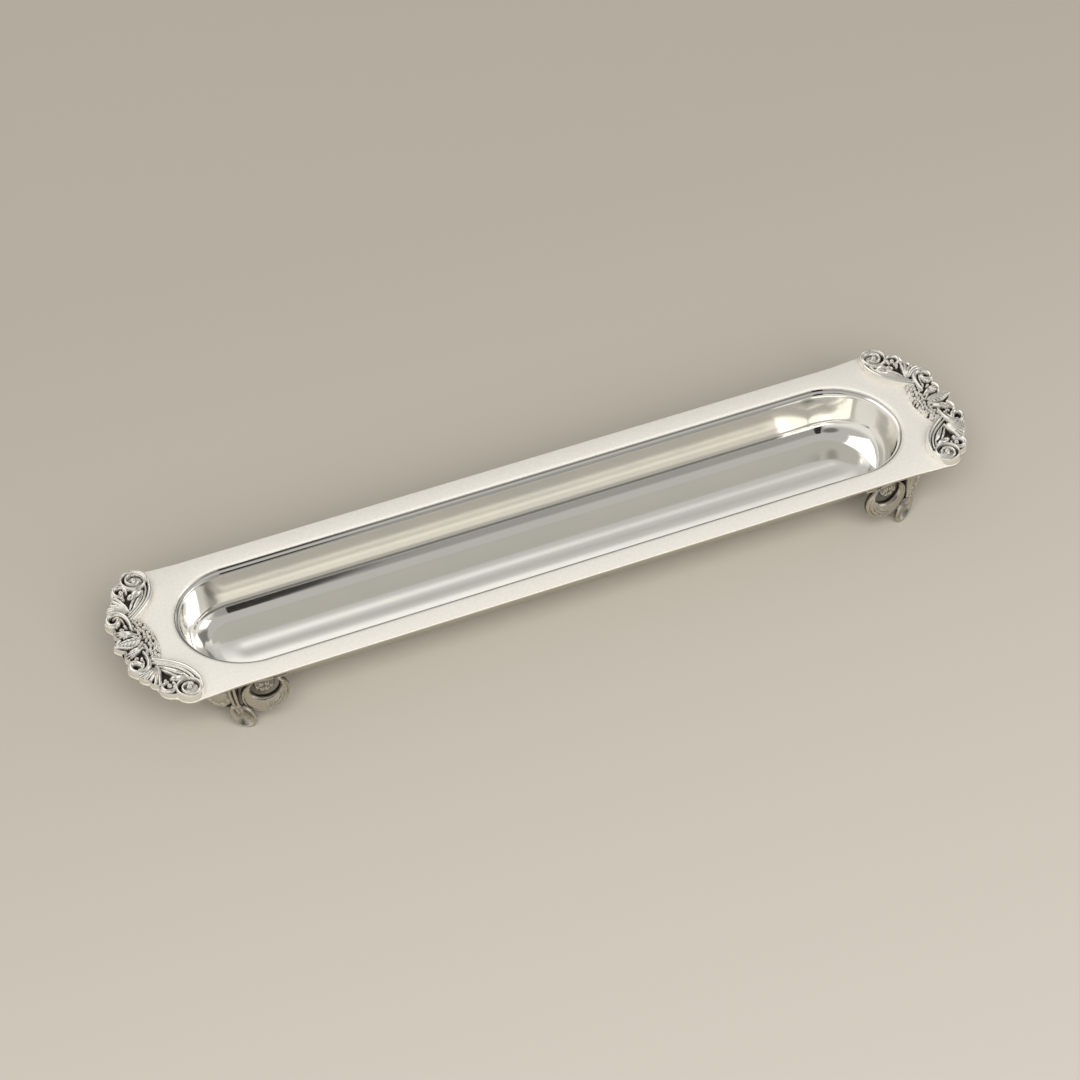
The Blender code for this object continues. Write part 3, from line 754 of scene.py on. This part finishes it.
    # the garland's pebbles, its flower and three buds
    pebbles = np.random.default_rng(7)
    for row in range(8):
        beside = 1.9 + 0.92 * row
        for off in (-1.05, -0.1, 0.9, 1.9):
            size = pebbles.uniform(0.5, 0.78)
            spot = (garland(beside) + off + pebbles.uniform(-0.2, 0.2),
                    beside + pebbles.uniform(-0.3, 0.3))
            sizes = (size, size * pebbles.uniform(0.8, 1.2))
            degrees = pebbles.uniform(0, 180)
            forms.append(dome(x, y, spot, sizes, degrees, pebbles.uniform(1.25, 1.85)))
    forms.append(dome(x, y, FLOWER, (0.62, 0.62), 0, 2.2))
    for petal in range(6):
        spot = around(FLOWER, 1.15, 60 * petal + 30)
        forms.append(dome(x, y, spot, (0.68, 0.5), 60 * petal + 30, 1.85))
    for bud in range(3):
        forms.append(dome(x, y, (117.6 + 0.6 * bud, 0.9 + 0.55 * bud), (0.75, 0.4), 28, 1.6))

    from_edge = np.clip(nearest(x, y, half_outline)[0] / EDGE_ROUND, 0, 1)
    rounded = 0.55 + 2.2 * np.sqrt(1 - (1 - from_edge) ** 2)
    return np.minimum(np.maximum.reduce(forms), rounded)


def blurred(grid, cells):
    """The grid softened both ways by a bell curve of that many cells."""
    reach = int(3 * cells)
    bell = np.exp(-0.5 * (np.arange(-reach, reach + 1) / cells) ** 2)
    bell /= bell.sum()

    def softened(row):
        return np.convolve(np.pad(row, reach, "edge"), bell, "valid")

    return np.apply_along_axis(softened, 1, np.apply_along_axis(softened, 0, grid))


def hollows(x, y, heights, low, high, relief):
    """How far each place lies below a softened copy of the relief, in millimetres."""
    step = 0.15
    columns, rows = np.arange(low[0], high[0], step), np.arange(low[1], high[1], step)
    soft = blurred(relief(*np.meshgrid(columns, rows)), 4)
    column = np.clip(np.round((x - low[0]) / step).astype(int), 0, len(columns) - 1)
    row = np.clip(np.round((y - low[1]) / step).astype(int), 0, len(rows) - 1)
    return soft[row, column] - heights


def cast_finish(name, bright, dull, polish, metallic):
    """Cast silver, polished on its backs and blackened in its hollows."""
    made, shader, nodes, links, _, marked = finish(name)
    shader.inputs["Metallic"].default_value = metallic
    worn = nodes.new("ShaderNodeAttribute")
    worn.attribute_name = "tarnish"
    uneven = spread(nodes, links, marked.outputs["Grain"], 0, 1, -0.10, 0.10)
    dark = sums(nodes, links, "ADD", worn.outputs["Fac"], uneven)
    dark = spread(nodes, links, dark, 0.14, 0.72, 0, 1)
    tone = tinted(nodes, links, marked.outputs["Cloud"], bright, dull)
    links.new(tinted(nodes, links, dark, tone, TARNISH), shader.inputs["Base Color"])
    rough = spread(nodes, links, marked.outputs["Scratches"], 0, 1, 0, 0.05)
    rough = sums(nodes, links, "ADD", rough, spread(nodes, links, dark, 0, 1, polish, 0.55))
    links.new(rough, shader.inputs["Roughness"])
    return made


right_mount = cut_to_plan("right_scroll_border", MOUNT_LOW, MOUNT_HIGH, MOUNT_PITCH, mount_region)
places = np.empty((len(right_mount.data.vertices), 3))
right_mount.data.vertices.foreach_get("co", places.ravel())
heights = mount_relief(places[:, 0], places[:, 1])
hollow = 1.4 * hollows(
    places[:, 0], places[:, 1], heights, (MOUNT_LOW[0], -3), MOUNT_HIGH,
    lambda x, y: np.where(mount_region(x, y) > 0, mount_relief(x, np.abs(y)), 1.0))
hollow = np.clip(hollow, 0, 1)
hollow = np.maximum(hollow, np.clip((0.85 - heights) / 0.4, 0, 1))
hollow *= np.clip(mount_region(places[:, 0], places[:, 1]) / 0.6, 0, 1)
tarnish = right_mount.data.attributes.new("tarnish", "FLOAT", "POINT")
tarnish.data.foreach_set("value", hollow)

places[:, 2] = heights
right_mount.data.vertices.foreach_set("co", (places * MM + np.array((0, 0, PLATE_TOP))).ravel())
apply_modifier(right_mount, "MIRROR", use_axis=(False, True, False), merge_threshold=2e-6)
bpy.ops.object.mode_set(mode="EDIT")
pick(right_mount, "edges", lambda edge: edge.is_boundary)
bpy.ops.mesh.extrude_edges_move()
bpy.ops.transform.resize(value=(1, 1, 0), center_override=(0, 0, PLATE_TOP + 0.00001))
bpy.ops.mesh.edge_face_add()
bpy.ops.mesh.select_all(action="SELECT")
bpy.ops.mesh.normals_make_consistent(inside=False)
bpy.ops.object.mode_set(mode="OBJECT")
bpy.ops.object.shade_smooth_by_angle(angle=math.radians(60))

cast = cast_finish("cast_silver", *BRIGHT_CAST, polish=0.20, metallic=0.90)
right_mount.data.materials.append(cast)

bpy.ops.object.select_all(action="DESELECT")
right_mount.select_set(True)
bpy.ops.object.duplicate(linked=False)
left_mount = bpy.context.object
left_mount.name = "left_scroll_border"
left_mount.rotation_euler.z = math.pi
bpy.ops.object.transform_apply(rotation=True)
for mount, node in ((right_mount, "right_end_mount"), (left_mount, "left_end_mount")):
    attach(mount, "root")
    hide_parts(node)

# The feet: four small silver castings soldered under the flange beside the ends of the well. Each
# has two crescent wings, one beaded and pierced round a leaf, two thin rods and a spoon of a toe.
# One is modelled flat, as a relief with two faces, bent round the well and then copied.
FOOT_PITCH = 0.12
FOOT_TOP = 15.8
FOOT_RADIUS = 24.2
FOOT_TURN = math.radians(21)
WING = ((-5.3, 10.2), (6.7, 6.0))
WING_HOLE = ((-5.2, 12.8), (3.9, 3.4))
LEAF = ((-5.0, 13.9), (2.9, 2.7))
END_WING = ((7.3, 10.4), (5.4, 5.9))
END_HOLE = ((7.2, 13.6), (2.9, 3.0))
TOE = ((0.9, 3.95), (2.8, 4.3), -33)
TOE_OUT = 1.4
TOE_HALF = 1.6
RAIL_DEPTH = 1.2
RAIL_HALF = 11.8
STRAP_HALF = 0.8
ROD_HALF = 0.5
FOOT_LOW, FOOT_HIGH = (-12.6, -0.06), (14.4, 15.9)
# painted shade: the feet's silver is painted darker for the shade they stand in under the flange
FOOT_SILVER_IN_SHADE = ((0.66, 0.62, 0.55), (0.48, 0.44, 0.38))
rods = (
    drawn([(4.6, 16.4), (4.2, 12.0), (3.2, 8.4), (1.9, 5.4)], 24),
    drawn([(3.3, 16.4), (2.9, 12.0), (2.1, 8.6), (1.1, 5.8)], 24),
)


def egg(x, y, centre, sizes, degrees=0):
    """How far inside an ellipse each place is: about its distance from the edge."""
    turn = math.radians(degrees)
    u = ((x - centre[0]) * math.cos(turn) + (y - centre[1]) * math.sin(turn)) / sizes[0]
    v = ((y - centre[1]) * math.cos(turn) - (x - centre[0]) * math.sin(turn)) / sizes[1]
    return (1 - np.hypot(u, v)) * min(sizes)


def crescent(x, y, whole, hole):
    """How far inside a pierced ellipse each place is, and its face, round in a raised rim."""
    outer, inner = egg(x, y, *whole), -egg(x, y, *hole)
    across = np.clip(outer / np.maximum(outer + inner, 1e-6), 0, 1)
    face = STRAP_HALF + 0.8 * np.sqrt(np.clip(1 - (2 * across - 1) ** 2, 0, 1))
    face -= 0.4 * np.exp(-(((outer - 0.85) / 0.22) ** 2))
    return np.minimum(outer, inner), face


def foot_shapes(x, y):
    """Each shape of the foot: how far inside it a place is, its middle and both half heights."""
    rail = np.minimum(np.minimum(y - FOOT_TOP + RAIL_DEPTH, FOOT_TOP - y), RAIL_HALF - np.abs(x))
    wing, wing_face = crescent(x, y, WING, WING_HOLE)
    for share in (0.76, 0.62, 0.48):
        for turn in np.arange(170, 275, 5.6 / share):
            spot = (WING[0][0] + WING[1][0] * share * math.cos(math.radians(turn)),
                    WING[0][1] + WING[1][1] * share * math.sin(math.radians(turn)))
            wing_face = wing_face + dome(x, y, spot, (0.36, 0.36), 0, 0.34)
    end_wing, end_face = crescent(x, y, END_WING, END_HOLE)
    for turn in (215, 248, 281, 314):
        spot = (END_WING[0][0] + 3.6 * math.cos(math.radians(turn)),
                END_WING[0][1] + 4.0 * math.sin(math.radians(turn)))
        end_face = end_face + dome(x, y, spot, (1.15, 0.85), turn + 90, 0.45)
    leaf = egg(x, y, *LEAF)
    leaf_face = np.full(x.shape, 0.5)
    for spot in (
        (-6.9, 13.0), (-5.7, 12.1), (-4.3, 12.1), (-3.1, 13.0), (-5.7, 13.8), (-4.2, 13.8)
    ):
        leaf_face = np.maximum(leaf_face, 0.5 + dome(x, y, spot, (0.85, 0.75), 90, 0.6))
    toe = egg(x, y, *TOE)
    rounded = 1 - np.clip(toe / min(TOE[1]), 0, 1)
    toe_back = TOE_HALF * np.sqrt(np.clip(1 - rounded**2, 0, 1))
    shapes = [
        (rail, 0.0, np.full(x.shape, 0.6), 0.6),
        (wing, 0.0, wing_face, STRAP_HALF),
        (end_wing, -1.0, end_face, STRAP_HALF),
        (leaf, -0.2, leaf_face, 0.6),
        (toe, TOE_OUT, -0.9 + 2.2 * rounded**2, toe_back),
    ]
    for rod in rods:
        off, down = nearest(x, y, rod)
        shapes.append((ROD_HALF - off, TOE_OUT * np.clip(down * 1.3 - 0.2, 0, 1), 0.9, 0.7))
    return shapes


def foot_region(x, y):
    inside = np.maximum.reduce([shape[0] for shape in foot_shapes(x, y)])
    return np.minimum(np.minimum(inside, FOOT_TOP - y), y)


def foot_faces(x, y):
    """Levels of the outer and the inner face of the flat foot."""
    front, back = np.full(x.shape, -9.0), np.full(x.shape, 9.0)
    for inside, middle, over, under in foot_shapes(x, y):
        rounded = 0.12 + 0.88 * np.sqrt(1 - (1 - np.clip(inside / 0.7, 0, 1)) ** 2)
        held = inside > -0.15
        front = np.where(held, np.maximum(front, middle + over * rounded), front)
        back = np.where(held, np.minimum(back, middle - under * rounded - 0.05), back)
    return front, back


foot = cut_to_plan("front_right_scroll_foot", FOOT_LOW, FOOT_HIGH, FOOT_PITCH, foot_region)
count = len(foot.data.vertices)
apply_modifier(foot, "SOLIDIFY", thickness=1, offset=-1)
places = np.empty((len(foot.data.vertices), 3))
foot.data.vertices.foreach_get("co", places.ravel())
front, back = foot_faces(places[:count, 0], places[:count, 1])
out = np.concatenate([front, back])
hollow = hollows(places[:count, 0], places[:count, 1], front, FOOT_LOW, FOOT_HIGH,
                 lambda x, y: np.maximum(foot_faces(x, y)[0], 0.3))
hollow = np.clip(hollow * 1.3 + 0.12, 0, 1)
tarnish = foot.data.attributes.new("tarnish", "FLOAT", "POINT")
tarnish.data.foreach_set("value", np.concatenate([hollow, np.full(count, 0.5)]))
along = FOOT_RADIUS * FOOT_TURN + places[:, 0]
radius = FOOT_RADIUS + out
turn = np.maximum(along, 0) / FOOT_RADIUS
bent = np.stack([
    END_CENTRE / MM + np.minimum(along, 0) + radius * np.sin(turn),
    -radius * np.cos(turn),
    places[:, 1],
], 1)
foot.data.vertices.foreach_set("co", (bent * MM).ravel())
foot.data.update()
bpy.ops.object.mode_set(mode="EDIT")
bpy.ops.mesh.select_all(action="SELECT")
bpy.ops.mesh.normals_make_consistent(inside=False)
bpy.ops.object.mode_set(mode="OBJECT")
apply_modifier(foot, "SMOOTH", factor=0.5, iterations=2)
bpy.ops.object.shade_smooth_by_angle(angle=math.radians(60))
# the feet's finish, its colours darkened as painted shade under the flange
foot_finish_in_shade = cast_finish("foot_silver_painted_shade", *FOOT_SILVER_IN_SHADE, polish=0.26, metallic=1.0)
foot.data.materials.append(foot_finish_in_shade)


def copied(piece, name, flips):
    """A copy of a piece with its own mesh, mirrored across the tray's middle planes."""
    bpy.ops.object.select_all(action="DESELECT")
    piece.select_set(True)
    bpy.context.view_layer.objects.active = piece
    bpy.ops.object.duplicate(linked=False)
    made = bpy.context.object
    made.name = name
    made.scale = (*flips, 1)
    bpy.ops.object.transform_apply(scale=True)
    bpy.ops.object.mode_set(mode="EDIT")
    bpy.ops.mesh.select_all(action="SELECT")
    bpy.ops.mesh.normals_make_consistent(inside=False)
    bpy.ops.object.mode_set(mode="OBJECT")
    return made


feet = {
    "front_right_foot": foot,
    "front_left_foot": copied(foot, "front_left_scroll_foot", (-1, 1)),
    "back_right_foot": copied(foot, "back_right_scroll_foot", (1, -1)),
    "back_left_foot": copied(foot, "back_left_scroll_foot", (-1, -1)),
}
for node, piece in feet.items():
    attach(piece, "root")
    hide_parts(node)
